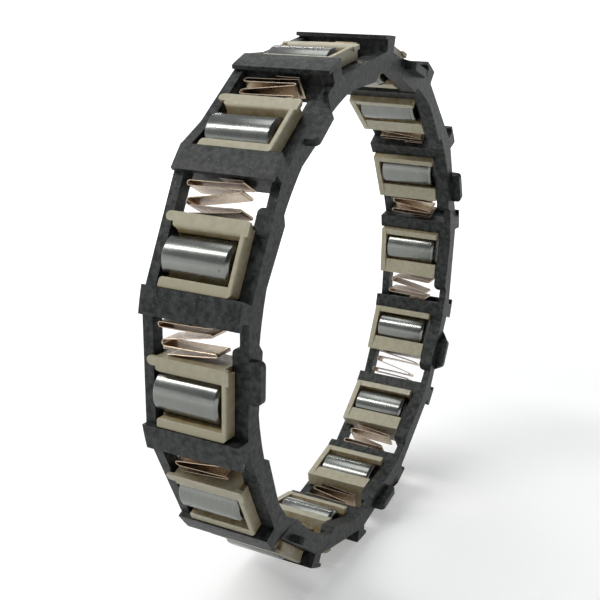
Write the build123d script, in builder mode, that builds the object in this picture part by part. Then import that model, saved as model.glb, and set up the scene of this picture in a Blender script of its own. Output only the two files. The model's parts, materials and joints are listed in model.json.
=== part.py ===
"""Low roller clutch of an automatic transmission, without its two races.

A moulded cage carries fourteen pockets. Each pocket holds a steel roller, the sliding shoe that
carries the roller, and a folded strip spring that pushes shoe and roller up to the pocket's stop.

The clutch axis is the Y axis. The lugged rim faces +Y and the plain rim faces -Y. The origin is on
the axis, halfway between the plain rim and the ends of the lugs. The clutch stands on its outer
pads, with one pad straight up. Pads, pockets, shoes, rollers and springs are numbered clockwise
as seen from the plain side, and pocket k lies between pad k and pad k - 1.
"""

from build123d import *
from math import asin, cos, degrees, hypot, radians, sin, sqrt, tan
import os

os.makedirs("parts", exist_ok=True)

# ---------------------------------------------------------------------------
# Sizes, in millimetres and degrees
# ---------------------------------------------------------------------------
POCKETS = 14
PITCH = 360 / POCKETS
HALF_PITCH = PITCH / 2

# Rollers
ROLLER_DIAMETER = 8.0
ROLLER_LENGTH = 12.5
ROLLER_CHAMFER = 0.45
ROLLER_SUNK = 0.5               # roller below the pads, at rest against the stop

# Pads of the cage, which centre it in the outer race
PAD_RADIUS = 53.0
PAD_HALF_WIDTH = 2.36
PAD_ROUNDING = 0.3
STOP_NECK = 2.2                 # half width of the bar below the pad, on the side of the stop
SPRING_NECK = 1.5               # the same, on the side of the spring
STOP_LIP = 2.1                  # thickness of the pad on each side
SPRING_LIP = 1.7

# Rims
PLAIN_RIM_WIDTH = 1.75
PLAIN_RIM_DROP = 2.7            # flats of the plain rim below the pads
PLAIN_RIM_HEIGHT = 1.5
LUGGED_RIM_WIDTH = 3.15
LUGGED_RIM_DROP = 3.7
RELIEF_DEPTH = 1.5              # room for the folds of the spring in the lugged rim
RELIEF_WIDTH = 3.3
RAMP_RISE = 1.3
RAMP_LENGTH = 3.6
RAMP_NOTCH = 1.05               # gap between the ramp and the pad

# Lugs on every other flat, which stop the cage from turning
LUG_PROJECTION = 2.2
LUG_LENGTH = 7.2
LUG_THICKNESS = 1.5
LUG_OFFSET = 0.5
LUG_ROUNDING = 0.9

# Bore, and the pilot flats that centre the cage on the inner race
BORE_CLEARANCE = 1.9
PILOT_CLEARANCE = 0.7
PILOT_LEAD = 18.5               # angle from the pad's middle to the highest point of the flat
PILOT_RETURN = 1.3

# Shoes
SHOE_CLEARANCE = 0.6            # between the shoe and the inner race
STOP_GAP = 0.1                  # between the shoe and the bar of the stop
SEAT_GAP = 0.08                 # between the roller and its seat
STOP_ARM = 0.7
SPRING_ARM = 2.9
STOP_ARM_DROP = 2.0             # tops of the arms and the web, below the pads
SPRING_ARM_DROP = 1.1
WEB_DROP = 1.8
STOP_MOUTH = 1.55               # height over the roller's centre where each arm leaves the seat
SPRING_MOUTH = 1.95
STOP_FLARE = 4.2
SPRING_FLARE = 17.4
SEAT_LIP = 3.2                  # half width of the opening towards the inner race
WEB_THICKNESS = 0.5
WEB_BOTTOM = 4.8
FLANGE_WIDTH = 0.65
FLANGE_END = 1.75
RIM_GAP = 0.15                  # running gap of the flange and the tab over the rims
TAB_LENGTH = 1.6
TAB_WIDTH = 1.05
TAB_OFFSET = 0.65
TAB_HEIGHT = 1.2
END_WALL = 1.2
END_WALL_GAP = 0.35             # between the end wall and the plain rim above it
ARM_END_GAP = 0.4
ARM_BEVEL = 1.0

# Axial running gaps
ROLLER_END_PLAY = 0.15
WEB_PLAY = 0.3
POCKET_PLAY = 0.15

# Springs
STRIP_GAUGE = 0.2
STRIP_WIDTH = 4.0
STRIP_DROP = 2.3                # outer edge of the strip below the pads
STRIP_GAP = 0.2                 # between the strip and what it bears on
FOLD = 0.6                      # pitch of a closed fold

# ---------------------------------------------------------------------------
# Radii and axial positions that follow from them
# ---------------------------------------------------------------------------
ROLLER_RADIUS = ROLLER_DIAMETER / 2
ROLLER_ORBIT = PAD_RADIUS - ROLLER_SUNK - ROLLER_RADIUS
INNER_RACE_RADIUS = ROLLER_ORBIT - ROLLER_RADIUS
SHOE_BORE = INNER_RACE_RADIUS + SHOE_CLEARANCE
PILOT_RADIUS = INNER_RACE_RADIUS + PILOT_CLEARANCE
BORE_RADIUS = INNER_RACE_RADIUS + BORE_CLEARANCE
PLAIN_RIM_FLAT = PAD_RADIUS - PLAIN_RIM_DROP
PLAIN_RIM_BORE = PLAIN_RIM_FLAT - PLAIN_RIM_HEIGHT
LUGGED_RIM_FLAT = PAD_RADIUS - LUGGED_RIM_DROP
BEYOND = PAD_RADIUS + 2

POCKET_WIDTH = ROLLER_END_PLAY + ROLLER_LENGTH + WEB_PLAY + WEB_THICKNESS + POCKET_PLAY
CAGE_WIDTH = PLAIN_RIM_WIDTH + POCKET_WIDTH + LUGGED_RIM_WIDTH
PLAIN_FACE = -(CAGE_WIDTH + LUG_PROJECTION) / 2
POCKET_START = PLAIN_FACE + PLAIN_RIM_WIDTH
POCKET_END = POCKET_START + POCKET_WIDTH
LUGGED_FACE = PLAIN_FACE + CAGE_WIDTH
LUG_END = LUGGED_FACE + LUG_PROJECTION
ROLLER_START = POCKET_START + ROLLER_END_PLAY
ROLLER_END = ROLLER_START + ROLLER_LENGTH
WEB_START = ROLLER_END + WEB_PLAY
WEB_END = WEB_START + WEB_THICKNESS
ARM_START = POCKET_START + ARM_END_GAP

# Roller, seen along the axis: its distance aside of the pad's middle, and its centre in the pocket
ROLLER_ASIDE = STOP_NECK + STOP_GAP + STOP_ARM + SEAT_GAP + ROLLER_RADIUS
ROLLER_LEAD = degrees(asin(ROLLER_ASIDE / ROLLER_ORBIT))
ROLLER_N = ROLLER_ORBIT * cos(radians(ROLLER_LEAD - HALF_PITCH))
ROLLER_S = ROLLER_ORBIT * sin(radians(ROLLER_LEAD - HALF_PITCH))
SEAT_RADIUS = ROLLER_RADIUS + SEAT_GAP
SPRING_FACE = ROLLER_S + SEAT_RADIUS + SPRING_ARM


# ---------------------------------------------------------------------------
# Planes and points
# ---------------------------------------------------------------------------
def across(y):
    """Plane across the axis at y: its x is +X, its y is +Z, and an extrusion runs towards -Y."""
    return Plane(origin=(0, y, 0), x_dir=(1, 0, 0), z_dir=(0, -1, 0))


def pocket(y):
    """The same for one pocket, whose stop is the pad on +X: x is n, outwards at the pocket's
    middle, and y is s, from the stop towards the spring."""
    middle = radians(HALF_PITCH)
    return Plane(origin=(0, y, 0), x_dir=(cos(middle), 0, sin(middle)), z_dir=(0, -1, 0))


def outward(angle, radius):
    """Plane facing outwards at an angle: its x is +Y, its y runs from the stop to the spring."""
    away = Vector(cos(radians(angle)), 0, sin(radians(angle)))
    return Plane(origin=away * radius, x_dir=(0, 1, 0), z_dir=away)


def beside_bar(along, aside, side):
    """Point (n, s) at a height along a bar and a distance aside of its middle line, towards the
    pocket: side is -1 at the stop and 1 at the spring."""
    turn = radians(HALF_PITCH)
    n = along * cos(turn) + aside * sin(turn)
    s = along * sin(turn) - aside * cos(turn)
    return (n, side * s)


def beside_bar_at(n, aside, side):
    """The same point, from its n."""
    turn = radians(HALF_PITCH)
    return beside_bar((n - aside * sin(turn)) / cos(turn), aside, side)


# ---------------------------------------------------------------------------
# Cage
# ---------------------------------------------------------------------------
bar_outline = [
    (BORE_RADIUS - 1, STOP_NECK),
    (PAD_RADIUS - STOP_LIP, STOP_NECK),
    (PAD_RADIUS - STOP_LIP, PAD_HALF_WIDTH),
    (BEYOND, PAD_HALF_WIDTH),
    (BEYOND, -PAD_HALF_WIDTH),
    (PAD_RADIUS - SPRING_LIP, -PAD_HALF_WIDTH),
    (PAD_RADIUS - SPRING_LIP, -SPRING_NECK),
    (BORE_RADIUS - 1, -SPRING_NECK),
]

pad_corner_s = beside_bar(PAD_RADIUS - SPRING_LIP, PAD_HALF_WIDTH, 1)[1]
ramp_end = pad_corner_s - RAMP_NOTCH
ramp_outline = [
    (BORE_RADIUS + 1, ramp_end - RAMP_LENGTH),
    (LUGGED_RIM_FLAT, ramp_end - RAMP_LENGTH),
    (LUGGED_RIM_FLAT + RAMP_RISE, ramp_end - 0.15),
    (LUGGED_RIM_FLAT + RAMP_RISE, ramp_end),
    (BORE_RADIUS + 1, ramp_end),
]

pilot_reach = sqrt(BORE_RADIUS**2 - PILOT_RADIUS**2)
pilot_outline = [
    (PILOT_RADIUS, -pilot_reach),
    (PILOT_RADIUS, 0),
    (BORE_RADIUS, PILOT_RETURN),
    (BORE_RADIUS + 1, PILOT_RETURN),
    (BORE_RADIUS + 1, -pilot_reach),
]

relief_start = pad_corner_s - RELIEF_WIDTH
relief_outline = [
    (BORE_RADIUS - 2, relief_start),
    (BEYOND, relief_start),
    beside_bar_at(BEYOND, PAD_HALF_WIDTH, 1),
    beside_bar(PAD_RADIUS - SPRING_LIP, PAD_HALF_WIDTH, 1),
    beside_bar(PAD_RADIUS - SPRING_LIP, SPRING_NECK, 1),
    beside_bar_at(BORE_RADIUS - 2, SPRING_NECK, 1),
]


def lugged_rim(relieved):
    """Profile of the lugged rim, with or without the room for the folds of the springs."""
    with BuildSketch() as rim:
        RegularPolygon(LUGGED_RIM_FLAT, POCKETS, major_radius=False, rotation=90)
        Circle(BORE_RADIUS, mode=Mode.SUBTRACT)
        with PolarLocations(0, POCKETS, start_angle=90 - HALF_PITCH):
            Polygon(*ramp_outline, align=None)
        with PolarLocations(0, POCKETS, start_angle=90 + PILOT_LEAD):
            Polygon(*pilot_outline, align=None)
        if relieved:
            with PolarLocations(0, POCKETS, start_angle=90 - HALF_PITCH):
                Polygon(*relief_outline, align=None, mode=Mode.SUBTRACT)
    return rim.sketch


with BuildPart() as cage:
    # Bars with their pads, as wide as the whole cage
    with BuildSketch(across(LUGGED_FACE)) as bars:
        with PolarLocations(0, POCKETS, start_angle=90):
            Polygon(*bar_outline, align=None)
        Circle(PAD_RADIUS, mode=Mode.INTERSECT)
        Circle(BORE_RADIUS, mode=Mode.SUBTRACT)
        pad_edges = [v for v in bars.vertices() if hypot(v.X, v.Y) > PAD_RADIUS - 0.01]
        fillet(pad_edges, PAD_ROUNDING)
    extrude(amount=CAGE_WIDTH)

    # Plain rim: a ring of flats around the ends of the shoes
    with BuildSketch(across(POCKET_START)):
        RegularPolygon(PLAIN_RIM_FLAT, POCKETS, major_radius=False, rotation=90)
        RegularPolygon(
            PLAIN_RIM_BORE, POCKETS, major_radius=False, rotation=90, mode=Mode.SUBTRACT
        )
    extrude(amount=PLAIN_RIM_WIDTH)

    # Lugged rim in two layers, the inner one relieved for the springs
    with BuildSketch(across(POCKET_END + RELIEF_DEPTH)):
        add(lugged_rim(relieved=True))
    extrude(amount=RELIEF_DEPTH)
    with BuildSketch(across(LUGGED_FACE)):
        add(lugged_rim(relieved=False))
    extrude(amount=LUGGED_RIM_WIDTH - RELIEF_DEPTH)

    # Lugs, flush with every other flat
    for k in range(2, POCKETS + 1, 2):
        middle = 90 - k * PITCH + HALF_PITCH
        with BuildSketch(outward(middle, LUGGED_RIM_FLAT - LUG_THICKNESS)) as lug:
            with Locations((LUGGED_FACE, LUG_OFFSET)):
                Rectangle(2 * LUG_PROJECTION, LUG_LENGTH)
            fillet(lug.vertices().group_by(Axis.Y)[-1], LUG_ROUNDING)
        extrude(amount=LUG_THICKNESS)

# ---------------------------------------------------------------------------
# Shoe, in the pocket whose stop is the pad on +X
# ---------------------------------------------------------------------------
aside = STOP_NECK + STOP_GAP
aside_pad = PAD_HALF_WIDTH + STOP_GAP
under_pad = PAD_RADIUS - STOP_LIP - RIM_GAP
stop_top = PAD_RADIUS - STOP_ARM_DROP
spring_top = PAD_RADIUS - SPRING_ARM_DROP
web_top = PAD_RADIUS - WEB_DROP
shoe_outline = [
    beside_bar_at(SHOE_BORE - 3, aside, -1),
    beside_bar(under_pad, aside, -1),
    beside_bar(under_pad, aside_pad, -1),
    beside_bar_at(stop_top, aside_pad, -1),
    (stop_top, ROLLER_S),
    (spring_top, ROLLER_S),
    (spring_top, ROLLER_S + SEAT_RADIUS),
    (web_top, SPRING_FACE - 0.2),
    (web_top - 0.4, SPRING_FACE),
    (SHOE_BORE - 3, SPRING_FACE),
]


def chord(height):
    """Half the seat's width at a height over the roller's centre."""
    return sqrt(SEAT_RADIUS**2 - height**2)


stop_mouth = (ROLLER_N + STOP_MOUTH, ROLLER_S - chord(STOP_MOUTH))
spring_mouth = (ROLLER_N + SPRING_MOUTH, ROLLER_S + chord(SPRING_MOUTH))
mouth_outline = [
    stop_mouth,
    (BEYOND, stop_mouth[1] - (BEYOND - stop_mouth[0]) * tan(radians(STOP_FLARE))),
    (BEYOND, spring_mouth[1] + (BEYOND - spring_mouth[0]) * tan(radians(SPRING_FLARE))),
    spring_mouth,
]
lip_outline = [
    (ROLLER_N, ROLLER_S - SEAT_LIP),
    (ROLLER_N, ROLLER_S + SEAT_LIP),
    (SHOE_BORE - 4, ROLLER_S + SEAT_LIP),
    (SHOE_BORE - 4, ROLLER_S - SEAT_LIP),
]
web_outline = [
    (PAD_RADIUS - WEB_BOTTOM, ROLLER_S - SEAT_RADIUS),
    (web_top, ROLLER_S - SEAT_RADIUS),
    (web_top, ROLLER_S + SEAT_RADIUS + 0.1),
    (PAD_RADIUS - WEB_BOTTOM, ROLLER_S + SEAT_RADIUS + 0.1),
]
flange_bottom = LUGGED_RIM_FLAT + RIM_GAP
flange_outline = [
    beside_bar_at(flange_bottom, aside, -1),
    beside_bar(under_pad, aside, -1),
    beside_bar(under_pad, aside_pad, -1),
    beside_bar_at(web_top, aside_pad, -1),
    (web_top, FLANGE_END),
    (flange_bottom, FLANGE_END),
]
end_wall_radius = PLAIN_RIM_BORE - END_WALL_GAP

with BuildPart() as shoe:
    # Arms around the roller's seat
    with BuildSketch(pocket(WEB_END)):
        Polygon(*shoe_outline, align=None)
        Circle(SHOE_BORE, mode=Mode.SUBTRACT)
        with Locations((ROLLER_N, ROLLER_S)):
            Circle(SEAT_RADIUS, mode=Mode.SUBTRACT)
        Polygon(*mouth_outline, align=None, mode=Mode.SUBTRACT)
        Polygon(*lip_outline, align=None, mode=Mode.SUBTRACT)
    extrude(amount=WEB_END - ARM_START)
    stop_end = shoe.edges().filter_by(Axis.Y, reverse=True)
    stop_end = [
        e
        for e in stop_end
        if abs(e.center().Y - ARM_START) < 0.01
        and pocket(0).to_local_coords(e.center()).X > stop_top - 0.01
        and pocket(0).to_local_coords(e.center()).Y < ROLLER_S
    ]
    chamfer(stop_end, ARM_BEVEL)

    # Feet of the arms, which reach under the plain rim
    with BuildSketch(pocket(ARM_START)):
        Polygon(*shoe_outline, align=None)
        Circle(end_wall_radius, mode=Mode.INTERSECT)
        Circle(SHOE_BORE, mode=Mode.SUBTRACT)
        with Locations((ROLLER_N, ROLLER_S)):
            Circle(SEAT_RADIUS, mode=Mode.SUBTRACT)
        Polygon(*lip_outline, align=None, mode=Mode.SUBTRACT)
    extrude(amount=ARM_END_GAP)

    # End wall behind the roller
    with BuildSketch(pocket(POCKET_START)):
        Polygon(*shoe_outline, align=None)
        Circle(end_wall_radius, mode=Mode.INTERSECT)
        Circle(SHOE_BORE, mode=Mode.SUBTRACT)
    extrude(amount=END_WALL)

    # Web between the arms, and the flange that rides on the lugged rim
    with BuildSketch(pocket(WEB_END)):
        Polygon(*web_outline, align=None)
    extrude(amount=WEB_THICKNESS)
    with BuildSketch(pocket(WEB_END + FLANGE_WIDTH)):
        Polygon(*flange_outline, align=None)
    extrude(amount=FLANGE_WIDTH + WEB_THICKNESS)

    # Tab that rides on the plain rim
    with BuildSketch(pocket(ARM_START + 0.1)):
        with Locations((PLAIN_RIM_FLAT + 2 * RIM_GAP, ROLLER_S + SEAT_RADIUS + TAB_OFFSET)):
            Rectangle(TAB_HEIGHT, TAB_LENGTH, align=Align.MIN)
    extrude(amount=TAB_WIDTH)

# ---------------------------------------------------------------------------
# Roller
# ---------------------------------------------------------------------------
with BuildPart() as roller:
    with BuildSketch(pocket(ROLLER_END)):
        with Locations((ROLLER_N, ROLLER_S)):
            Circle(ROLLER_RADIUS)
    extrude(amount=ROLLER_LENGTH)
    chamfer(roller.edges().filter_by(GeomType.CIRCLE), ROLLER_CHAMFER)

# ---------------------------------------------------------------------------
# Spring: a strip on edge, folded to and fro between the bar and the shoe
# ---------------------------------------------------------------------------
strip_bottom = PAD_RADIUS - STRIP_DROP - STRIP_WIDTH
bar_face = beside_bar_at(strip_bottom, SPRING_NECK, 1)[1]
first = min(bar_face, pad_corner_s) - STRIP_GAP / 2 - STRIP_GAUGE / 2
last = SPRING_FACE + STRIP_GAP + STRIP_GAUGE / 2
left = POCKET_START + ROLLER_END_PLAY + FOLD
right = ROLLER_END - FOLD - 0.4

# Each leaf as (y, s) of its two ends
leaves = [
    ((left + 1.2, first), (right - 0.9, first)),
    ((right - 0.9, first - FOLD), (left, first - FOLD - 0.05)),
    ((left, first - 2 * FOLD - 0.05), (right - 0.3, first - 2 * FOLD)),
    ((right - 0.3, first - 3 * FOLD), (left + 0.3, last + 3 * FOLD + 0.2)),
    ((left + 0.3, last + 2 * FOLD + 0.2), (right, last + 2 * FOLD + 0.2)),
    ((right, last + FOLD + 0.2), (left + 0.9, last + FOLD + 0.1)),
    ((left + 0.9, last + 0.1), (right - 0.3, last)),
]

# The strip's middle line, with three chords to a fold
strip = []
for (start, end), (follower, _) in zip(leaves, leaves[1:]):
    bend = FOLD * cos(radians(30)) / 2
    reach = end[0] + (bend if end[0] > start[0] else -bend)
    strip += [start, end, (reach, end[1] - FOLD / 4), (reach, follower[1] + FOLD / 4)]
strip += leaves[-1]

with BuildPart() as spring:
    with BuildSketch(outward(HALF_PITCH, strip_bottom)):
        with BuildLine():
            Polyline(*strip)
        trace(line_width=STRIP_GAUGE)
    extrude(amount=STRIP_WIDTH)

# ---------------------------------------------------------------------------
# Fourteen of each, and the files
# ---------------------------------------------------------------------------
cage.part.label = "cage"
export_step(cage.part, "parts/cage.step")

for k in range(1, POCKETS + 1):
    turn = k * PITCH - 90
    for kind, master in (("shoe", shoe), ("roller", roller), ("spring", spring)):
        with BuildPart() as piece:
            add(master.part, rotation=(0, turn, 0))
        piece.part.label = f"{kind}_{k:02d}"
        export_step(piece.part, f"parts/{kind}_{k:02d}.step")
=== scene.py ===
"""Studio scene of a roller clutch: a moulded cage with fourteen shoes, rollers and springs."""

import json
from math import asin, atan2, cos, pi, radians, sin, sqrt, tan

import bmesh
import bpy
from mathutils import Matrix, Vector

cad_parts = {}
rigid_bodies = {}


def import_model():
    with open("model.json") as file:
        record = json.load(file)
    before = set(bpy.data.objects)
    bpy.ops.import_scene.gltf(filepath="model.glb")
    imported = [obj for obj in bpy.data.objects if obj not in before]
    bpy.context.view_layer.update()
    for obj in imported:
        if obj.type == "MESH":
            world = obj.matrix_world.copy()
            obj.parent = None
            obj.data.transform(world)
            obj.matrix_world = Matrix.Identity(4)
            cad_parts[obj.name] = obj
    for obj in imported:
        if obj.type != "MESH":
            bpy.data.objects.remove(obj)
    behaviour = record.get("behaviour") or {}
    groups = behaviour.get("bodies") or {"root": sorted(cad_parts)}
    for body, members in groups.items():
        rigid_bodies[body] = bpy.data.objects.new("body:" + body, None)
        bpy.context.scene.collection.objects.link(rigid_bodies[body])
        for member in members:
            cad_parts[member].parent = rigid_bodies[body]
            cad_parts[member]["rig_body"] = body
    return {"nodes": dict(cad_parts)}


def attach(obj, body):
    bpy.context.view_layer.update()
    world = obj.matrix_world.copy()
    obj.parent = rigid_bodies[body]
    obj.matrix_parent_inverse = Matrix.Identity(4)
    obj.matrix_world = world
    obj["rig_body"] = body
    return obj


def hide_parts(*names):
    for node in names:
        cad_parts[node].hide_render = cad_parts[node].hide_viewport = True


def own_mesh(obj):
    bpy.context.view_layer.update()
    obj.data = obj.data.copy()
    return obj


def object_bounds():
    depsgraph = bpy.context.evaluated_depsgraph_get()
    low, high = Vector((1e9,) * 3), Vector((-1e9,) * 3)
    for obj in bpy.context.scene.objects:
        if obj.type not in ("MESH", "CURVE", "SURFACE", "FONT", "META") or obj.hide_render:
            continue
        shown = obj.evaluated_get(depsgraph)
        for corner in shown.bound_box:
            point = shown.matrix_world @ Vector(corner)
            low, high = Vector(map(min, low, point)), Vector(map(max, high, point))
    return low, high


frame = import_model()
cad_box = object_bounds()


# ---------------------------------------------------------------------------
# Shader building
# ---------------------------------------------------------------------------
# Nearly all values of a noise texture lie between these two
NOISE_LOW, NOISE_HIGH = 0.35, 0.65


def put(tree, kind, inputs=None, **settings):
    """Adds a shader node, sets or links its inputs by name or number, and returns its outputs."""
    made = tree.nodes.new("ShaderNode" + kind)
    for name, value in settings.items():
        setattr(made, name, value)
    for name, value in (inputs or {}).items():
        if isinstance(value, bpy.types.NodeSocket):
            tree.links.new(value, made.inputs[name])
        else:
            made.inputs[name].default_value = value
    return made.outputs


def new_group(name, inputs, outputs):
    """An empty shader node group, with what it is given and what it puts out."""
    tree = bpy.data.node_groups.new(name, "ShaderNodeTree")
    kinds = {"c": "NodeSocketColor", "f": "NodeSocketFloat"}
    for label, kind, value in inputs:
        socket = tree.interface.new_socket(label, in_out="INPUT", socket_type=kinds[kind])
        socket.default_value = value
    for label, kind in outputs:
        tree.interface.new_socket(label, in_out="OUTPUT", socket_type=kinds[kind])
    return tree, tree.nodes.new("NodeGroupInput").outputs, tree.nodes.new("NodeGroupOutput").inputs


def place(tree, group, **inputs):
    """Places a group in a material, with its own values, and returns its outputs."""
    named = {name.replace("_", " "): value for name, value in inputs.items()}
    return put(tree, "Group", named, node_tree=group)


def mixed(tree, factor, first, second):
    """A colour that goes from the first to the second as the factor goes from 0 to 1."""
    return put(tree, "Mix", {0: factor, 6: first, 7: second}, data_type="RGBA")[2]


def spread(tree, value, low, high, to_low=0.0, to_high=1.0):
    """A value from one range, spread over another and held inside it."""
    ends = {"From Min": low, "From Max": high, "To Min": to_low, "To Max": to_high}
    return put(tree, "MapRange", {"Value": value, **ends})[0]


def combined(tree, first, second, operation="ADD"):
    """Two values added, or put together by another operation."""
    return put(tree, "Math", {0: first, 1: second}, operation=operation)[0]


def product(tree, first, second):
    return combined(tree, first, second, "MULTIPLY")


def noise(tree, size, detail, distortion=0.0):
    """Noise fixed in the piece; size is how many of its grains go to a metre."""
    inputs = {
        "Vector": put(tree, "TexCoord")["Object"],
        "Scale": size,
        "Detail": detail,
        "Distortion": distortion,
    }
    return put(tree, "TexNoise", inputs)[0]


def round_zero(tree, mask, amount):
    """A mask from 0 to 1 as a change to both sides of zero, of the amount in all."""
    return product(tree, combined(tree, mask, 0.5, "SUBTRACT"), amount)


def mottle_group():
    """Slow and fast unevenness of a colour, as in any moulding or rolled strip."""
    tree, given, made = new_group(
        "mottle",
        [("Colour", "c", (0.5, 0.5, 0.5, 1)), ("Size", "f", 400.0), ("Amount", "f", 0.2)],
        [("Colour", "c"), ("Mask", "f")],
    )
    slow_share, fast_share, fast_over_slow = 0.65, 0.35, 7.0
    slow = noise(tree, given["Size"], detail=4.0)
    fast = noise(tree, product(tree, given["Size"], fast_over_slow), detail=2.0)
    both = combined(tree, product(tree, slow, slow_share), product(tree, fast, fast_share))
    mask = spread(tree, both, NOISE_LOW, NOISE_HIGH)
    gain = combined(tree, round_zero(tree, mask, given["Amount"]), 1.0)
    tinted = put(tree, "VectorMath", {0: given["Colour"], "Scale": gain}, operation="SCALE")[0]
    tree.links.new(tinted, made["Colour"])
    tree.links.new(mask, made["Mask"])
    return tree


def painted(tree, given, made, mask, amount, second):
    """Puts out a group's mask, and its colour gone over by an amount of it to a second one."""
    shown = product(tree, mask, given[amount])
    tree.links.new(mixed(tree, shown, given["Colour"], given[second]), made["Colour"])
    tree.links.new(mask, made["Mask"])


def fleck_group():
    """Small flecks, such as the ends of glass fibres at a moulded skin, or specks in it."""
    tree, given, made = new_group(
        "flecks",
        [
            ("Colour", "c", (0.5, 0.5, 0.5, 1)),
            ("Fleck", "c", (1, 1, 1, 1)),
            ("Size", "f", 3000.0),
            ("Share", "f", 0.2),
            ("Strength", "f", 0.5),
        ],
        [("Colour", "c"), ("Mask", "f")],
    )
    full_within, gone_by = 0.15, 0.5
    cells = put(
        tree,
        "TexVoronoi",
        {"Vector": put(tree, "TexCoord")["Object"], "Scale": given["Size"], "Randomness": 1.0},
    )
    chance = put(tree, "SeparateColor", {0: cells["Color"]})[0]
    chosen = combined(tree, chance, given["Share"], "LESS_THAN")
    core = spread(tree, cells["Distance"], full_within, gone_by, 1.0, 0.0)
    painted(tree, given, made, product(tree, chosen, core), "Strength", "Fleck")
    return tree


def painted_crevice_shade_group():
    """Painted shade: a darker colour where a surface is closed in by others, where shade falls."""
    tree, given, made = new_group(
        "painted_shade",
        [
            ("Colour", "c", (0.5, 0.5, 0.5, 1)),
            ("Deep", "c", (0.1, 0.1, 0.1, 1)),
            ("Reach", "f", 0.003),
            ("Amount", "f", 0.5),
        ],
        [("Colour", "c"), ("Mask", "f")],
    )
    still_open, closed_in = 0.95, 0.25
    open_sky = put(tree, "AmbientOcclusion", {"Distance": given["Reach"]}, samples=16)["AO"]
    painted(tree, given, made, spread(tree, open_sky, still_open, closed_in), "Amount", "Deep")
    return tree


def worn_edge_group():
    """Lighter edges, broken up as real wear is."""
    tree, given, made = new_group(
        "worn edge",
        [
            ("Colour", "c", (0.5, 0.5, 0.5, 1)),
            ("Worn", "c", (0.8, 0.8, 0.8, 1)),
            ("Amount", "f", 0.5),
        ],
        [("Colour", "c"), ("Mask", "f")],
    )
    nearly_flat, sharp = 0.52, 0.62
    unworn, fully_worn = 0.38, 0.62
    edge = spread(tree, put(tree, "NewGeometry")["Pointiness"], nearly_flat, sharp)
    patches = spread(tree, noise(tree, size=900.0, detail=5.0), unworn, fully_worn)
    painted(tree, given, made, product(tree, edge, patches), "Amount", "Worn")
    return tree


def tool_line_group():
    """Fine lines left by grinding or rolling. Across is how many go to a metre of the clutch
    axis, and Along how many go to a metre square to it."""
    tree, given, made = new_group(
        "tool lines",
        [("Across", "f", 9000.0), ("Along", "f", 60.0), ("Depth", "f", 1.0)],
        [("Height", "f"), ("Mask", "f")],
    )
    split = put(tree, "SeparateXYZ", {0: put(tree, "TexCoord")["Object"]})
    sizes = (given["Along"], given["Across"], given["Along"])
    stretched = {i: product(tree, split[i], size) for i, size in enumerate(sizes)}
    inputs = {"Vector": put(tree, "CombineXYZ", stretched)[0], "Scale": 1.0, "Detail": 3.0}
    lines = put(tree, "TexNoise", inputs)[0]
    faint, deep = 0.3, 0.7
    tree.links.new(product(tree, lines, given["Depth"]), made["Height"])
    tree.links.new(spread(tree, lines, faint, deep), made["Mask"])
    return tree


def film_group():
    """Handling marks and a thin film of oil, as a change of roughness."""
    tree, given, made = new_group(
        "film",
        [("Roughness", "f", 0.4), ("Size", "f", 150.0), ("Amount", "f", 0.15)],
        [("Roughness", "f"), ("Mask", "f")],
    )
    smears = noise(tree, given["Size"], detail=6.0, distortion=1.2)
    mask = spread(tree, smears, NOISE_LOW, NOISE_HIGH)
    change = round_zero(tree, mask, given["Amount"])
    tree.links.new(combined(tree, given["Roughness"], change), made["Roughness"])
    tree.links.new(mask, made["Mask"])
    return tree


MOTTLE = mottle_group()
FLECKS = fleck_group()
PAINTED_CREVICE_SHADE = painted_crevice_shade_group()
WORN_EDGE = worn_edge_group()
TOOL_LINES = tool_line_group()
FILM = film_group()


# ---------------------------------------------------------------------------
# Materials
# ---------------------------------------------------------------------------
def new_material(name):
    """A material with a Principled shader, and its tree and shader."""
    material = bpy.data.materials.new(name)
    material.use_nodes = True
    tree = material.node_tree
    return material, tree, tree.nodes["Principled BSDF"]


def dressed(tree, shader, colour, roughness, height, distance, strength):
    """Gives a shader its colour and roughness, and a bump whose height of 1 is a distance in
    metres."""
    bump = {"Height": height, "Distance": distance, "Strength": strength}
    tree.links.new(colour, shader.inputs["Base Color"])
    tree.links.new(roughness, shader.inputs["Roughness"])
    tree.links.new(put(tree, "Bump", bump)["Normal"], shader.inputs["Normal"])


def cage_plastic():
    """Black glass-filled nylon: satin, with a fine grey fleck of fibres in its skin."""
    material, tree, shader = new_material("black_nylon")
    base = place(tree, MOTTLE, Colour=(0.0050, 0.0078, 0.0072, 1), Size=700.0, Amount=0.3)
    fine = place(
        tree, FLECKS, Colour=base["Colour"], Fleck=(0.088, 0.108, 0.10, 1), Size=4400.0,
        Share=0.38, Strength=0.36,
    )
    coarse = place(
        tree, FLECKS, Colour=fine["Colour"], Fleck=(0.30, 0.32, 0.31, 1), Size=3300.0,
        Share=0.035, Strength=0.4,
    )
    # Painted shade: the cage colour goes darker where it is closed in by other surfaces.
    deep = place(
        tree, PAINTED_CREVICE_SHADE, Colour=coarse["Colour"], Deep=(0.008, 0.008, 0.008, 1), Reach=0.0025,
        Amount=0.5,
    )
    worn = place(tree, WORN_EDGE, Colour=deep["Colour"], Worn=(0.10, 0.105, 0.10, 1), Amount=0.4)
    skin = place(tree, FILM, Roughness=0.47, Size=900.0, Amount=0.12)
    grain = noise(tree, size=4200.0, detail=3.0)
    height = combined(tree, grain, product(tree, fine["Mask"], 0.5))
    dressed(
        tree, shader, worn["Colour"], skin["Roughness"], height, distance=0.00004, strength=0.7
    )
    shader.inputs["Specular IOR Level"].default_value = 0.25
    return material


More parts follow.
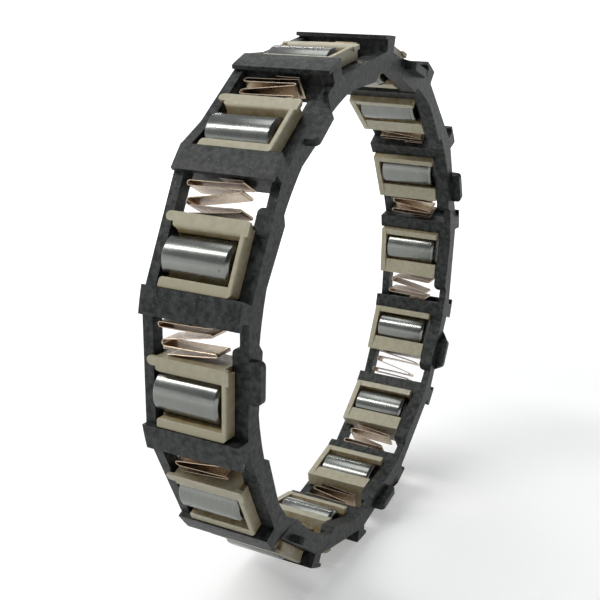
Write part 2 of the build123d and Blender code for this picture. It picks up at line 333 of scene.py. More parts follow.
def shoe_plastic():
    """Natural cream moulding, a little translucent, with a painted yellow-brown shade where it is
    closed in.
    """
    material, tree, shader = new_material("cream_moulding")
    base = place(tree, MOTTLE, Colour=(0.40, 0.368, 0.252, 1), Size=90.0, Amount=0.06)
    # Painted shade: the colour turns yellow-brown where the shoe is closed in by other surfaces.
    deep = place(
        tree, PAINTED_CREVICE_SHADE, Colour=base["Colour"], Deep=(0.29, 0.185, 0.055, 1), Reach=0.0045,
        Amount=0.95,
    )
    specks = place(
        tree, FLECKS, Colour=deep["Colour"], Fleck=(0.16, 0.12, 0.07, 1), Size=1400.0,
        Share=0.01, Strength=0.5,
    )
    worn = place(tree, WORN_EDGE, Colour=specks["Colour"], Worn=(0.52, 0.50, 0.40, 1), Amount=0.4)
    skin = place(tree, FILM, Roughness=0.4, Size=300.0, Amount=0.1)
    ripple = noise(tree, size=1800.0, detail=2.0)
    dressed(
        tree, shader, worn["Colour"], skin["Roughness"], ripple, distance=0.00002, strength=0.25
    )
    shader.inputs["Subsurface Weight"].default_value = 0.12
    shader.inputs["Subsurface Radius"].default_value = (1.0, 0.7, 0.35)
    shader.inputs["Subsurface Scale"].default_value = 0.001
    return material


def roller_steel():
    """Ground and polished bearing steel, with fine lines round it and traces of oil."""
    material, tree, shader = new_material("ground_steel")
    base = place(tree, MOTTLE, Colour=(0.205, 0.212, 0.198, 1), Size=300.0, Amount=0.12)
    lines = place(tree, TOOL_LINES, Across=16000.0, Along=120.0, Depth=1.0)
    streaked = mixed(
        tree, product(tree, lines["Mask"], 0.3), base["Colour"], (0.125, 0.131, 0.122, 1)
    )
    specks = place(
        tree, FLECKS, Colour=streaked, Fleck=(0.06, 0.05, 0.045, 1), Size=1300.0, Share=0.008,
        Strength=0.5,
    )
    skin = place(tree, FILM, Roughness=0.235, Size=170.0, Amount=0.08)
    dressed(
        tree, shader, specks["Colour"], skin["Roughness"], lines["Height"], distance=0.000004,
        strength=0.5,
    )
    shader.inputs["Metallic"].default_value = 1.0
    return material


def spring_strip():
    """Straw-tempered spring strip: pale and bright on its faces, with a painted brown shade between
    its folds.
    """
    material, tree, shader = new_material("tempered_strip")
    base = place(tree, MOTTLE, Colour=(0.50, 0.41, 0.305, 1), Size=300.0, Amount=0.1)
    # Painted shade: the colour turns brown where the folds close the strip in.
    deep = place(
        tree, PAINTED_CREVICE_SHADE, Colour=base["Colour"], Deep=(0.155, 0.083, 0.042, 1), Reach=0.0022,
        Amount=0.85,
    )
    lines = place(tree, TOOL_LINES, Across=150.0, Along=6000.0, Depth=1.0)
    skin = place(tree, FILM, Roughness=0.3, Size=420.0, Amount=0.1)
    dressed(
        tree, shader, deep["Colour"], skin["Roughness"], lines["Height"], distance=0.000003,
        strength=0.4,
    )
    shader.inputs["Metallic"].default_value = 1.0
    return material


CAGE_PLASTIC = cage_plastic()
SHOE_PLASTIC = shoe_plastic()
ROLLER_STEEL = roller_steel()
SPRING_STRIP = spring_strip()


# ---------------------------------------------------------------------------
# Sizes, in millimetres and radians
# ---------------------------------------------------------------------------
MM = 0.001
POCKETS = 14
PITCH = 2 * pi / POCKETS
HALF = PITCH / 2

# Each roller, and its middle line in its pocket
ROLLER_RADIUS = 4.0
ROLLER_START, ROLLER_END = -8.3, 4.2
ROLLER_EDGE = 0.55
ROLLER_EASE = 0.07
ROLLER_DISH = 0.03
ROLLER_N, ROLLER_S = 48.353, -3.771

# Bars and their pads
PAD_RADIUS = 53.0
PAD_HALF_WIDTH = 2.36
SPRING_NECK = 1.2
SPRING_LIP = 0.75
BORE_RADIUS = 46.4

# Plain rim
PLAIN_FACE = -10.35
PLAIN_RIM_WIDTH = 1.9
PLAIN_RIM_FLAT = 51.05
PLAIN_RIM_BORE = 48.5
RAMPED_POCKETS = (1, 2)
RAMP_LENGTH = 6.2
RAMP_DROP = 0.1

# Lugged rim, and the room in it for one spring's folds
LUGGED_FACE = 8.15
LUGGED_RIM_WIDTH = 3.0
LUGGED_RIM_FLAT = 49.2
RELIEF_DEPTH = 1.35
RELIEF_START = 5.83
RELIEF_ROUNDING = 0.9
RELIEF_BOTTOM = BORE_RADIUS - 2
RELIEF_TOP = LUGGED_RIM_FLAT + 0.5
RELIEF_END_GAP = 0.2
RELIEF_END = LUGGED_RIM_FLAT * tan(HALF) - RELIEF_END_GAP

# The flats in its bore
PILOT_RADIUS = 45.2
PILOT_LEAD = radians(18.5)
PILOT_RETURN = 1.3

# Lugs
LUG_PROJECTION = 2.2
LUG_THICKNESS = 1.5
LUG_START, LUG_FINISH = -3.1, 4.1
LUG_ROUNDING = 0.9

CAGE_EASE = 0.12

# The pocket, between the rims; and the flank of the bar at its stop, which is square to the
# pocket's outward line
POCKET_START = PLAIN_FACE + PLAIN_RIM_WIDTH
POCKET_END = LUGGED_FACE - LUGGED_RIM_WIDTH
PAD_EDGE = sqrt(PAD_RADIUS**2 - PAD_HALF_WIDTH**2)
STOP_FACE = PAD_EDGE * sin(HALF) - PAD_HALF_WIDTH * cos(HALF)
STOP_EDGE = PAD_EDGE * cos(HALF) + PAD_HALF_WIDTH * sin(HALF)

# Shoe: its outer faces
SHOE_TOP = 51.85
SHOE_BORE = 45.1
STOP_GAP = 0.1
SHOE_STOP = -(STOP_FACE - STOP_GAP)
SPRING_FACE = 2.81
SHOE_EASE = 0.09

# The roller's seat, with the heights over its middle at which the arms leave it
SEAT_RADIUS = 4.08
SEAT_LIP = 3.2
STOP_MOUTH, SPRING_MOUTH = 1.55, 1.95
STOP_FLARE, SPRING_FLARE = radians(4.2), radians(17.4)
BROW_ROUNDING = 0.55
SEAT_STEPS, LOW_SEAT_STEPS = 14, 9

# Arms, with the rounding of their ends; and the wall on their low ends under the plain rim
ARM_START = -7.6
ARM_ROUNDING = 0.6
ROUNDED_OVER_MOUTH = 0.1
ARM_TIP_FACE = 6.1
ARM_TIP_BOTTOM = 51.1
ARM_TIP_SUNK = 0.2
END_WALL = 1.2
END_WALL_TOP = 48.15

# Web and flange beside the lugged rim
WEB_START, WEB_END = 4.5, 5.0
WEB_BOTTOM = 48.2
WEB_DRAFT = 0.4
WEB_SUNK = 0.1
FLANGE_FACE = 5.75
FLANGE_END = 2.0
FLANGE_BOTTOM = 49.4
FLANGE_ROUNDING = 0.3
FLANGE_BEVEL = 0.6

# Tab on the plain rim
TAB_RADIUS = 0.8
TAB_BOTTOM = 51.35
TAB_MIDDLE = -8.4

# Spring: each leaf of the strip as (y, s) of its two ends, from the bar to the shoe
LEAVES = [
    ((-2.0, 9.23), (2.2, 9.23)),
    ((2.2, 8.73), (-7.2, 8.35)),
    ((-7.2, 7.48), (2.2, 7.74)),
    ((2.2, 7.24), (-6.4, 5.56)),
    ((-6.4, 4.38), (3.0, 4.68)),
    ((3.0, 4.18), (-6.0, 3.06)),
]
LEAF_BOW = 0.05
LEAF_STEPS, FOLD_STEPS = 6, 8
STRIP_LOW = 46.7
STRIP_WIDTH = 4.0
STRIP_HALF = 0.09
STRIP_EASE = 0.035

# How far a cut runs past what it cuts, and a solid into the one that it is joined to
PAST = 1.0
SUNK = 0.5
# Corners nearer than WELD are one, faces that turn less than FLAT_WITHIN are one flat, and edges
# that turn more than EASED_OVER are eased, or sharp where a piece isn't eased
WELD = 0.004
FLAT_WITHIN = radians(0.6)
EASED_OVER = radians(34)
# Steps of a rounded corner, a pad's arc, a tab's end, a full turn and an eased edge
ROUND_STEPS = 4
PAD_STEPS = 4
TAB_STEPS = 6
TURN_STEPS = 96
EASE_STEPS = 3


# ---------------------------------------------------------------------------
# Solids, drawn in the frame of one pocket or bar
#
# n (x) runs outwards, y along the clutch axis, and s (z) on round the ring, from a pocket's stop
# to its spring.
# ---------------------------------------------------------------------------
def bar_angle(number):
    """The angle of a bar, from +X towards +Z; bar 0 is at the top."""
    return pi / 2 - number * PITCH


def pocket_angle(number):
    """The angle of a pocket's middle. Pocket 1 is the one between bars 0 and 1."""
    return bar_angle(number) + HALF


def turned(shape, angle):
    """The solid, turned round the clutch axis to its pocket or bar."""
    bmesh.ops.transform(shape, matrix=Matrix.Rotation(-angle, 4, "Y"), verts=shape.verts)
    return shape


def drawn(outline, letters, low, high):
    """A closed solid: an outline in two directions, drawn along the third from low to high."""
    shape = bmesh.new()
    axes = ["nys".index(letter) for letter in letters]
    ends = []
    for depth in (low, high):
        end = []
        for first, second in outline:
            corner = Vector()
            for axis, value in zip(axes, (first, second, depth)):
                corner[axis] = value
            end.append(shape.verts.new(corner))
        ends.append(end)
    shape.faces.new(ends[0])
    shape.faces.new(ends[1][::-1])
    for i, corner in enumerate(ends[0]):
        j = (i + 1) % len(outline)
        shape.faces.new((corner, ends[1][i], ends[1][j], ends[0][j]))
    bmesh.ops.recalc_face_normals(shape, faces=shape.faces)
    return shape


def revolved(profile, place_at):
    """A surface turned from a profile of (radius, along). place_at gives the point that lies at
    two distances across the axis and one along it."""
    shape = bmesh.new()
    rings = []
    for radius, along in profile:
        ring = []
        for i in range(TURN_STEPS if radius else 1):
            turn = 2 * pi * i / TURN_STEPS
            ring.append(shape.verts.new(place_at(radius * cos(turn), radius * sin(turn), along)))
        rings.append(ring)
    for first, second in zip(rings, rings[1:]):
        for i in range(TURN_STEPS):
            j = (i + 1) % TURN_STEPS
            corners = [first[i % len(first)], first[j % len(first)]]
            corners += [second[j % len(second)], second[i % len(second)]]
            shape.faces.new(list(dict.fromkeys(corners)))
    return shape


def arc(centre, radius, start, finish, steps):
    """Points of an arc round a centre, between two angles."""
    turns = [start + (finish - start) * i / steps for i in range(steps + 1)]
    return [(centre[0] + radius * cos(turn), centre[1] + radius * sin(turn)) for turn in turns]


def corner_round(before, corner, after, radius):
    """Points of the arc that rounds a corner between two straight sides."""
    before, corner, after = Vector(before), Vector(corner), Vector(after)
    back, on = (before - corner).normalized(), (after - corner).normalized()
    half = back.angle(on) / 2
    reach = radius / tan(half)
    middle = corner + (back + on).normalized() * (radius / sin(half))
    first, last = corner + back * reach - middle, corner + on * reach - middle
    rays = [first.slerp(last, i / ROUND_STEPS).normalized() for i in range(ROUND_STEPS + 1)]
    return [tuple(middle + ray * radius) for ray in rays]


def as_object(shape):
    """A helper object for the Boolean modifiers."""
    mesh = bpy.data.meshes.new("solid")
    shape.to_mesh(mesh)
    shape.free()
    return bpy.data.objects.new("solid", mesh)


def carved(solids, cuts=()):
    """One closed solid: the first solids joined, less what is cut away."""
    base = as_object(solids[0])
    bpy.context.scene.collection.objects.link(base)
    stores = []
    for operation, group in (("UNION", solids[1:]), ("DIFFERENCE", cuts)):
        if not group:
            continue
        store = bpy.data.collections.new(operation)
        bpy.context.scene.collection.children.link(store)
        for shape in group:
            store.objects.link(as_object(shape))
        step = base.modifiers.new(operation, "BOOLEAN")
        step.operation = operation
        step.operand_type = "COLLECTION"
        step.collection = store
        step.solver = "EXACT"
        stores.append(store)
    seen = bpy.context.evaluated_depsgraph_get()
    mesh = bpy.data.meshes.new_from_object(base.evaluated_get(seen))
    shape = bmesh.new()
    shape.from_mesh(mesh)
    for store in stores:
        for helper in list(store.objects):
            bpy.data.objects.remove(helper)
        bpy.data.collections.remove(store)
    bpy.data.objects.remove(base)
    bpy.data.meshes.remove(mesh)
    return shape


def in_sectors(shape):
    """Cuts a ring's faces at the middles of its pockets, and marks each sector's faces, so that
    no flat of it can become one face with a hole in it."""
    for i in range(POCKETS // 2):
        turn = pocket_angle(i)
        bmesh.ops.bisect_plane(
            shape, geom=shape.verts[:] + shape.edges[:] + shape.faces[:], dist=0.001,
            plane_co=(0, 0, 0), plane_no=(-sin(turn), 0, cos(turn)),
        )
    for face in shape.faces:
        middle = face.calc_center_median()
        part = (atan2(middle.z, middle.x) - pocket_angle(0)) / (2 * pi) % 1
        face.material_index = int(part * POCKETS)


def cleaned(shape, ring=False):
    """The solid with one face to each flat, or on a ring, to each flat of each sector."""
    bmesh.ops.remove_doubles(shape, verts=shape.verts, dist=WELD)
    if ring:
        in_sectors(shape)
    bmesh.ops.dissolve_limit(
        shape, angle_limit=FLAT_WITHIN, verts=shape.verts, edges=shape.edges,
        delimit={"MATERIAL"},
    )
    for face in shape.faces:
        face.material_index = 0
    return shape


# ---------------------------------------------------------------------------
# Cage
# ---------------------------------------------------------------------------
def beside_pocket(n, s):
    """A pocket's point, s counted to the bar of its stop, as (along the bar, aside of it)."""
    return (n * cos(HALF) + s * sin(HALF), n * sin(HALF) - s * cos(HALF))


def bar_outline():
    """A bar end on: its pad is an arc, with a plain flank at the stop and a lip at the spring."""
    foot = beside_pocket(LUGGED_RIM_FLAT, STOP_FACE)
    half_arc = asin(PAD_HALF_WIDTH / PAD_RADIUS)
    under_lip = PAD_RADIUS - SPRING_LIP
    return (
        [(sqrt(BORE_RADIUS**2 - foot[1] ** 2), foot[1]), foot]
        + arc((0, 0), PAD_RADIUS, half_arc, -half_arc, PAD_STEPS)
        + [
            (under_lip, -PAD_HALF_WIDTH),
            (under_lip, -SPRING_NECK),
            (sqrt(BORE_RADIUS**2 - SPRING_NECK**2), -SPRING_NECK),
        ]
    )


def flats(inradius):
    """A ring of fourteen flats, seen along the axis."""
    reach = inradius / cos(HALF)
    corners = [bar_angle(number) for number in range(POCKETS)]
    return [(reach * cos(turn), reach * sin(turn)) for turn in corners]


def bore_outline():
    """The bore, with the fourteen flats that centre the cage on the inner race."""
    outline = []
    reach = sqrt(BORE_RADIUS**2 - PILOT_RADIUS**2)
    for number in range(POCKETS):
        middle = pi / 2 + PILOT_LEAD + number * PITCH
        for n, s in ((PILOT_RADIUS, -reach), (PILOT_RADIUS, 0), (BORE_RADIUS, PILOT_RETURN)):
            outline.append(
                (n * cos(middle) - s * sin(middle), n * sin(middle) + s * cos(middle))
            )
        start = middle + atan2(PILOT_RETURN, BORE_RADIUS)
        finish = middle + PITCH - atan2(reach, PILOT_RADIUS)
        outline += arc((0, 0), BORE_RADIUS, start, finish, ROUND_STEPS)[1:-1]
    return outline


def relief():
    """Room in the lugged rim for the folds of one spring, with a rounded way in."""
    back = POCKET_END + RELIEF_DEPTH
    lead = (POCKET_END, RELIEF_START - 2 * PAST)
    corner = (POCKET_END, RELIEF_START)
    deep = (back, RELIEF_START)
    outline = (
        [(POCKET_END - PAST, lead[1]), lead]
        + corner_round(lead, corner, deep, RELIEF_ROUNDING)
        + [deep, (back, RELIEF_END), (POCKET_END - PAST, RELIEF_END)]
    )
    return drawn(outline, "ysn", RELIEF_BOTTOM, RELIEF_TOP)


def lug():
    """A lug, flush with its flat, with the corners of its end rounded."""
    root, end = LUGGED_FACE - LUG_PROJECTION, LUGGED_FACE + LUG_PROJECTION
    corners = [(root, LUG_START), (end, LUG_START), (end, LUG_FINISH), (root, LUG_FINISH)]
    outline = (
        [corners[0]]
        + corner_round(*corners[0:3], LUG_ROUNDING)
        + corner_round(*corners[1:4], LUG_ROUNDING)
        + [corners[3]]
    )
    return drawn(outline, "ysn", LUGGED_RIM_FLAT - LUG_THICKNESS, LUGGED_RIM_FLAT)


def ramp():
    """The rise of the plain rim to the pad of the stop."""
    start = RAMP_LENGTH - STOP_FACE
    outline = [
        (PLAIN_RIM_BORE + SUNK, -STOP_FACE - SUNK),
        (PLAIN_RIM_FLAT, -STOP_FACE - SUNK),
        (STOP_EDGE - RAMP_DROP, -STOP_FACE),
        (PLAIN_RIM_FLAT, start),
        (PLAIN_RIM_BORE + SUNK, start),
    ]
    return drawn(outline, "nsy", PLAIN_FACE, POCKET_START)


def cage_shape():
    """The whole moulding: two rims, fourteen bars, seven lugs and two ramps."""
    numbers = range(1, POCKETS + 1)
    lugged = carved(
        [drawn(flats(LUGGED_RIM_FLAT), "nsy", POCKET_END, LUGGED_FACE)],
        [drawn(bore_outline(), "nsy", POCKET_END - PAST, LUGGED_FACE + PAST)],
    )
    lugged = carved([lugged], [turned(relief(), pocket_angle(number)) for number in numbers])
    plain = carved(
        [drawn(flats(PLAIN_RIM_FLAT), "nsy", PLAIN_FACE, POCKET_START)],
        [drawn(flats(PLAIN_RIM_BORE), "nsy", PLAIN_FACE - PAST, POCKET_START + PAST)],
    )
    bars = [
        turned(drawn(bar_outline(), "nsy", PLAIN_FACE, LUGGED_FACE), bar_angle(number))
        for number in numbers
    ]
    lugs = [turned(lug(), pocket_angle(number)) for number in numbers if number % 2 == 0]
    ramps = [turned(ramp(), pocket_angle(number)) for number in RAMPED_POCKETS]
    return cleaned(carved([lugged, plain] + bars + lugs + ramps), ring=True)


# ---------------------------------------------------------------------------
# Shoe
# ---------------------------------------------------------------------------
def seat_half(rise):
    """Half the seat's width at a height over the roller's middle."""
    return sqrt(SEAT_RADIUS**2 - rise**2)


def seat_arc(start, finish, steps):
    """Part of the seat round the roller, between two points (rise, s) counted from its middle."""
    return arc(
        (ROLLER_N, ROLLER_S), SEAT_RADIUS, atan2(start[1], start[0]), atan2(finish[1], finish[0]),
        steps,
    )


def bore_point(s):
    """The point of the shoe's bore at a place along the pocket."""
    return (sqrt(SHOE_BORE**2 - s**2), s)


def stop_arm_top(top):
    """s of the stop arm's inner face at a height over its mouth."""
    rise = top - ROLLER_N - STOP_MOUTH
    return ROLLER_S - seat_half(STOP_MOUTH) - rise * tan(STOP_FLARE)


def spring_arm_top(top):
    """s of the spring arm's inner face at a height over its mouth."""
    rise = top - ROLLER_N - SPRING_MOUTH
    return ROLLER_S + seat_half(SPRING_MOUTH) + rise * tan(SPRING_FLARE)


def stop_arm_foot():
    """The stop arm from its lip round to its foot, where it runs down beside the bar."""
    aside = beside_pocket(LUGGED_RIM_FLAT, -SHOE_STOP)[1]
    along = sqrt(SHOE_BORE**2 - aside**2)
    foot = (along * cos(HALF) + aside * sin(HALF), aside * cos(HALF) - along * sin(HALF))
    return [bore_point(ROLLER_S - SEAT_LIP), foot]


def stop_arm(seat_start, steps):
    """The stop arm's inside end on, from a point (rise, s) of the seat down to its foot."""
    return seat_arc(seat_start, (-seat_half(SEAT_LIP), -SEAT_LIP), steps) + stop_arm_foot()


def spring_arm(seat_finish, steps):
    """The spring arm's inside end on, from its foot up to a point (rise, s) of the seat."""
    foot = [bore_point(SPRING_FACE), bore_point(ROLLER_S + SEAT_LIP)]
    return foot + seat_arc((-seat_half(SEAT_LIP), SEAT_LIP), seat_finish, steps)


def full_arms():
    """The two arms end on, with their full height: at the stop, then at the spring."""
    stop = [(LUGGED_RIM_FLAT, SHOE_STOP), (SHOE_TOP, SHOE_STOP), (SHOE_TOP, stop_arm_top(SHOE_TOP))]
    stop += stop_arm((STOP_MOUTH, -seat_half(STOP_MOUTH)), SEAT_STEPS)
    spring = spring_arm((SPRING_MOUTH, seat_half(SPRING_MOUTH)), SEAT_STEPS)
    brow = (SHOE_TOP, spring_arm_top(SHOE_TOP))
    outer = (SHOE_TOP, SPRING_FACE)
    return stop, spring + corner_round(spring[-1], brow, outer, BROW_ROUNDING) + [outer]


def low_arms():
    """The two arms end on under the plain rim: at the stop, then at the spring."""
    rise = END_WALL_TOP - ROLLER_N
    beside_bar = SHOE_STOP + (LUGGED_RIM_FLAT - END_WALL_TOP) * tan(HALF)
    stop = [(END_WALL_TOP, beside_bar)] + stop_arm((rise, -seat_half(rise)), LOW_SEAT_STEPS)
    spring = spring_arm((rise, seat_half(rise)), LOW_SEAT_STEPS)
    return stop, spring + [(END_WALL_TOP, SPRING_FACE)]


def arm_end_cut(inner, away):
    """What is cut from the inner corner of an arm's end, to round it. The arm lies at lower s
    where away is 1, and at higher s where it is -1."""
    rounding = corner_round(
        (ARM_START, inner - away), (ARM_START, inner), (ARM_START + 1, inner), ARM_ROUNDING
    )
    beyond = inner + away * ARM_ROUNDING
    outside = ARM_START - ARM_ROUNDING / 2
    outline = rounding + [
        (ARM_START + ARM_ROUNDING, beyond),
        (outside, beyond),
        (outside, rounding[0][1]),
    ]
    return drawn(outline, "ysn", ROLLER_N + STOP_MOUTH + ROUNDED_OVER_MOUTH, SHOE_TOP + PAST)


def end_wall():
    """The wall that closes the shoe under the plain rim, with the low arms' outer faces."""
    stop, spring = low_arms()
    outline = [stop[0], spring[-1], spring[0], stop[-1]]
    return drawn(outline, "nsy", POCKET_START - END_WALL, POCKET_START)


def web():
    """The wall across the roller's end, which leans away from it."""
    outline = [
        (WEB_START, WEB_BOTTOM),
        (WEB_START + WEB_DRAFT, SHOE_TOP),
        (WEB_END, SHOE_TOP),
        (WEB_END, WEB_BOTTOM),
    ]
    return drawn(outline, "yns", ROLLER_S - SEAT_RADIUS, ROLLER_S + SEAT_RADIUS + WEB_SUNK)


def flange():
    """The flange that rides on the lugged rim."""
    inner_top = (WEB_START + WEB_DRAFT, SHOE_TOP)
    corner, foot = (FLANGE_FACE, SHOE_TOP), (FLANGE_FACE, FLANGE_BOTTOM)
    outline = (
        [(inner_top[0], FLANGE_BOTTOM), inner_top]
        + corner_round(inner_top, corner, foot, FLANGE_ROUNDING)
        + [foot]
    )
    return drawn(outline, "yns", SHOE_STOP, FLANGE_END)


def flange_bevel():
    """What is cut from the flange's corner at the stop."""
    outline = [
        (FLANGE_FACE, SHOE_STOP + FLANGE_BEVEL),
        (FLANGE_FACE - FLANGE_BEVEL, SHOE_STOP),
        (FLANGE_FACE - FLANGE_BEVEL, SHOE_STOP - PAST),
        (FLANGE_FACE + PAST, SHOE_STOP - PAST),
        (FLANGE_FACE + PAST, SHOE_STOP + FLANGE_BEVEL),
    ]
    return drawn(outline, "ysn", FLANGE_BOTTOM - PAST, SHOE_TOP + PAST)


def arm_tip():
    """The spring arm's end, over the lugged rim."""
    inner = spring_arm_top(SHOE_TOP)
    start = WEB_END - ARM_TIP_SUNK
    corner = (ARM_TIP_FACE, SPRING_FACE)
    rounding = corner_round((ARM_TIP_FACE, inner), corner, (WEB_END, SPRING_FACE), ARM_ROUNDING)
    outline = [(start, inner), (ARM_TIP_FACE, inner)] + rounding + [(start, SPRING_FACE)]
    return drawn(outline, "ysn", ARM_TIP_BOTTOM, SHOE_TOP)


def tab():
    """The tab on the plain rim, with a round end."""
    middle = (TAB_MIDDLE, SPRING_FACE - TAB_RADIUS)
    root = ARM_START + SUNK
    outline = arc(middle, TAB_RADIUS, pi / 2, 3 * pi / 2, TAB_STEPS)
    outline += [(root, SPRING_FACE - 2 * TAB_RADIUS), (root, SPRING_FACE)]
    return drawn(outline, "ysn", TAB_BOTTOM, SHOE_TOP)


def shoe_shape():
    """The shoe: two arms on an end wall, a web between them, a flange and a tab."""
    arms = [drawn(outline, "nsy", ARM_START, WEB_END) for outline in full_arms()]
    arms += [drawn(outline, "nsy", POCKET_START, ARM_START) for outline in low_arms()]
    cuts = [
        arm_end_cut(stop_arm_top(SHOE_TOP), 1),
        arm_end_cut(spring_arm_top(SHOE_TOP), -1),
        flange_bevel(),
    ]
    return cleaned(carved(arms + [end_wall(), web(), flange(), arm_tip(), tab()], cuts))


# ---------------------------------------------------------------------------
# Roller
# ---------------------------------------------------------------------------
def roller_shape():
    """A ground roller: slightly hollow ends, and bevelled edges eased on both sides."""
    middle = (ROLLER_START + ROLLER_END) / 2
    half = (ROLLER_END - ROLLER_START) / 2
    ease = ROLLER_EASE
    inner = ROLLER_RADIUS - ROLLER_EDGE
    bevel_end = -half + ROLLER_EDGE
    profile = [
        (0, -half + ROLLER_DISH),
        (0.5 * ROLLER_RADIUS, -half + 0.4 * ROLLER_DISH),
        (inner - ease, -half),
        (inner + 0.6 * ease, -half + 0.2 * ease),
        (inner + 1.4 * ease, -half + 0.75 * ease),
        (ROLLER_RADIUS - 0.75 * ease, bevel_end - 1.4 * ease),
        (ROLLER_RADIUS - 0.2 * ease, bevel_end - 0.6 * ease),
        (ROLLER_RADIUS, bevel_end + ease),
    ]
    profile += [(radius, -along) for radius, along in reversed(profile)]
    return revolved(profile, lambda n, s, along: (ROLLER_N + n, middle + along, ROLLER_S + s))


# ---------------------------------------------------------------------------
# Spring
# ---------------------------------------------------------------------------
def leaf_line(start, end):
    """Points (y, s) along one leaf, which bows a little."""
    points = []
    for i in range(LEAF_STEPS + 1):
        share = i / LEAF_STEPS
        y = start[0] + share * (end[0] - start[0])
        s = start[1] + share * (end[1] - start[1]) - LEAF_BOW * sin(pi * share)
        points.append(Vector((y, s)))
    return points


def fold_line(start, end, side):
    """Points (y, s) between the ends of a round fold, which bulges to one side."""
    middle = (Vector(start) + Vector(end)) / 2
    reach = (start[1] - end[1]) / 2
    turns = [pi / 2 - pi * i / FOLD_STEPS for i in range(1, FOLD_STEPS)]
    return [middle + Vector((side * reach * cos(turn), reach * sin(turn))) for turn in turns]


def strip_line():
    """Points (y, s) along the middle of the folded strip."""
    line = leaf_line(*LEAVES[0])
    for (start, end), following in zip(LEAVES, LEAVES[1:]):
        side = 1 if end[0] > start[0] else -1
        line += fold_line(end, following[0], side) + leaf_line(*following)
    return line


def spring_shape():
    """A strip on edge, folded to and fro, with its cut edges eased."""
    line = strip_line()
    half, ease = STRIP_HALF, STRIP_EASE
    section = [
        (-half, ease), (-half, STRIP_WIDTH - ease),
        (-half + ease, STRIP_WIDTH), (half - ease, STRIP_WIDTH),
        (half, STRIP_WIDTH - ease), (half, ease),
        (half - ease, 0), (-half + ease, 0),
    ]
    shape = bmesh.new()
    rings = []
    for i, point in enumerate(line):
        before, after = line[max(i - 1, 0)], line[min(i + 1, len(line) - 1)]
        run = (after - before).normalized()
        normal = Vector((-run.y, run.x))
        ring = []
        for aside, up in section:
            y, s = point + normal * aside
            ring.append(shape.verts.new((STRIP_LOW + up, y, s)))
        rings.append(ring)
    for first, second in zip(rings, rings[1:]):
        for i in range(len(section)):
            j = (i + 1) % len(section)
            shape.faces.new((first[i], first[j], second[j], second[i]))
    shape.faces.new(rings[0])
    shape.faces.new(rings[-1])
    return shape


# ---------------------------------------------------------------------------
# Pieces
# ---------------------------------------------------------------------------
def new_piece(name, shape, material, node, angle=0.0, eased=0.0):
    """A piece in metres from a solid in millimetres, standing for a CAD node on its body."""
    mesh = bpy.data.meshes.new(name)
    bmesh.ops.recalc_face_normals(shape, faces=shape.faces)
    shape.to_mesh(mesh)
    mesh.transform(Matrix.Rotation(-angle, 4, "Y") @ Matrix.Scale(MM, 4))
    for face in mesh.polygons:
        face.use_smooth = not eased
    mesh.materials.append(material)
    piece = bpy.data.objects.new(name, mesh)
    bpy.context.scene.collection.objects.link(piece)
    if eased:
        bevel = piece.modifiers.new("eased edges", "BEVEL")
        bevel.width = eased * MM
        bevel.segments = EASE_STEPS
        bevel.limit_method = "ANGLE"
        bevel.angle_limit = EASED_OVER
        bevel.miter_outer = "MITER_ARC"
    else:
        mesh.set_sharp_from_angle(angle=EASED_OVER)
    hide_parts(node)
    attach(piece, frame["nodes"][node]["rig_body"])
    return piece


def fold_with_shoe(spring):
    """Gives a spring its own copy of its mesh."""
    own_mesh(spring)


new_piece("moulded_cage", cage_shape(), CAGE_PLASTIC, "cage", eased=CAGE_EASE)
SHOE = shoe_shape()
ROLLER = roller_shape()
SPRING = spring_shape()
for number in range(1, POCKETS + 1):
    angle = pocket_angle(number)
    new_piece(
        f"moulded_shoe_{number:02d}", SHOE, SHOE_PLASTIC, f"shoe_{number:02d}",
        angle, SHOE_EASE,
    )
    new_piece(
        f"ground_roller_{number:02d}", ROLLER, ROLLER_STEEL,
        f"roller_{number:02d}", angle,
    )
    spring = new_piece(
        f"folded_spring_{number:02d}", SPRING, SPRING_STRIP,
        f"spring_{number:02d}", angle,
    )
    fold_with_shoe(spring)


# ---------------------------------------------------------------------------
# Floor, light and camera, in metres
# ---------------------------------------------------------------------------
FLOOR_HEIGHT = cad_box[0].z
FLOOR_RADII = (0.0, 0.3, 0.7)
WALL_BEND = 0.35
WALL_TURN = radians(80)
WALL_STEPS = 12


def pale_paper():
    """White paper that shows white from afar, and a soft shadow near the clutch."""
    material, tree, shader = new_material("pale_paper")
    tone = place(tree, MOTTLE, Colour=(0.82, 0.82, 0.82, 1), Size=9.0, Amount=0.01)
    tree.links.new(tone["Colour"], shader.inputs["Base Color"])
    shader.inputs["Roughness"].default_value = 0.9
    shader.inputs["Specular IOR Level"].default_value = 0.1
    path = put(tree, "LightPath")
    seen = combined(tree, path["Is Camera Ray"], path["Is Glossy Ray"], "MAXIMUM")
    seen = combined(tree, seen, path["Is Transmission Ray"], "MAXIMUM")
    ends = {0: put(tree, "NewGeometry")["Position"], 1: (0, 0, FLOOR_HEIGHT)}
    from_middle = put(tree, "VectorMath", ends, operation="DISTANCE")["Value"]
    glow = spread(tree, from_middle, low=0.14, high=0.5, to_low=0.33, to_high=0.9)
    shader.inputs["Emission Color"].default_value = (1, 1, 1, 1)
    tree.links.new(product(tree, seen, glow), shader.inputs["Emission Strength"])
    return material


def backdrop():
    """A round pale cove: a floor that curves up into a low wall all round."""
    edge = FLOOR_RADII[-1]
    profile = [(radius, 0.0) for radius in FLOOR_RADII]
    for i in range(1, WALL_STEPS + 1):
        turn = i / WALL_STEPS * WALL_TURN
        profile.append((edge + WALL_BEND * sin(turn), WALL_BEND - WALL_BEND * cos(turn)))
    shape = revolved(profile, lambda x, y, height: (x, y, FLOOR_HEIGHT + height))
    mesh = bpy.data.meshes.new("pale_cove")
    bmesh.ops.recalc_face_normals(shape, faces=shape.faces)
    shape.to_mesh(mesh)
    shape.free()
    for face in mesh.polygons:
        face.use_smooth = True
    mesh.materials.append(pale_paper())
    cove = bpy.data.objects.new("pale_cove", mesh)
    bpy.context.scene.collection.objects.link(cove)


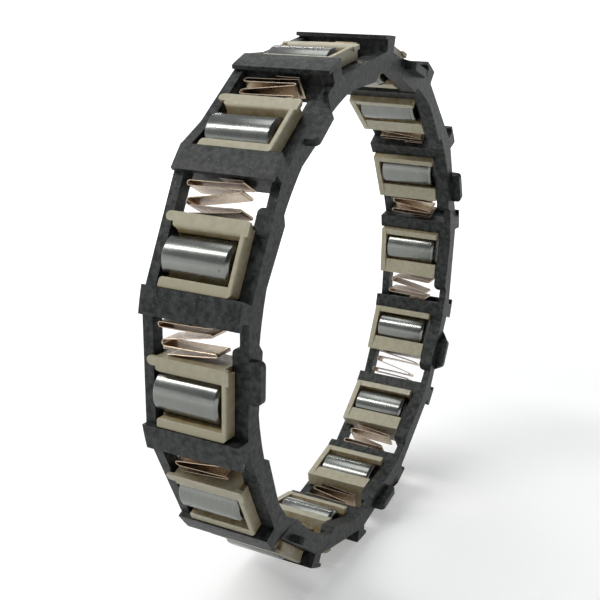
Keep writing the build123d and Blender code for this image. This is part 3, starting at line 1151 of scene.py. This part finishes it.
def room():
    """Grey surroundings above the cove, lighter on the plain side of the clutch."""
    world = bpy.data.worlds.new("grey_room")
    bpy.context.scene.world = world
    world.use_nodes = True
    tree = world.node_tree
    background = tree.nodes["Background"]
    along = put(tree, "SeparateXYZ", {0: put(tree, "TexCoord")["Generated"]})[1]
    lighter, darker = (0.50, 0.51, 0.53, 1), (0.11, 0.115, 0.12, 1)
    tone = mixed(tree, spread(tree, along, -0.9, 0.6), lighter, darker)
    tree.links.new(tone, background.inputs["Color"])
    background.inputs["Strength"].default_value = 1.0


def softbox(name, place_at, long, short, power, colour):
    """A rectangular lamp aimed at the clutch, with its long side along the clutch axis."""
    light = bpy.data.lights.new(name, "AREA")
    light.shape = "RECTANGLE"
    light.size = long
    light.size_y = short
    light.energy = power
    light.color = colour
    lamp = bpy.data.objects.new(name, light)
    bpy.context.scene.collection.objects.link(lamp)
    back = Vector(place_at).normalized()
    side = (Vector((0, 1, 0)) - back * back.y).normalized()
    aim = Matrix((side, back.cross(side), back)).transposed().to_4x4()
    lamp.matrix_world = Matrix.Translation(place_at) @ aim


def camera_over(place_at, forward, upward):
    """A camera above the lugged side, with its frame shifted so that the ring stands in it."""
    data = bpy.data.cameras.new("camera")
    data.lens = 51.585
    data.sensor_width = 36.0
    data.shift_x = -0.0902
    data.shift_y = 0.1023
    data.clip_start = 0.005
    camera = bpy.data.objects.new("camera", data)
    bpy.context.scene.collection.objects.link(camera)
    forward = Vector(forward).normalized()
    right = forward.cross(Vector(upward)).normalized()
    aim = Matrix((right, right.cross(forward), -forward)).transposed().to_4x4()
    camera.matrix_world = Matrix.Translation(Vector(place_at)) @ aim
    bpy.context.scene.camera = camera


backdrop()
room()
softbox("key_softbox", (0.33, -0.40, 0.53), 0.60, 0.09, 2.7, (1.0, 0.99, 0.965))
softbox("back_strip", (-0.51, -0.40, 0.40), 0.60, 0.03, 0.6, (1.0, 0.97, 0.92))
softbox("top_softbox", (-0.10, -0.12, 0.75), 0.50, 0.40, 1.75, (0.98, 0.99, 1.0))
camera_over(
    (0.156356, 0.073132, 0.049265),
    forward=(-0.86183, -0.38063, -0.33522),
    upward=(-0.28562, -0.18194, 0.94091),
)
bpy.context.scene.view_settings.view_transform = "Standard"
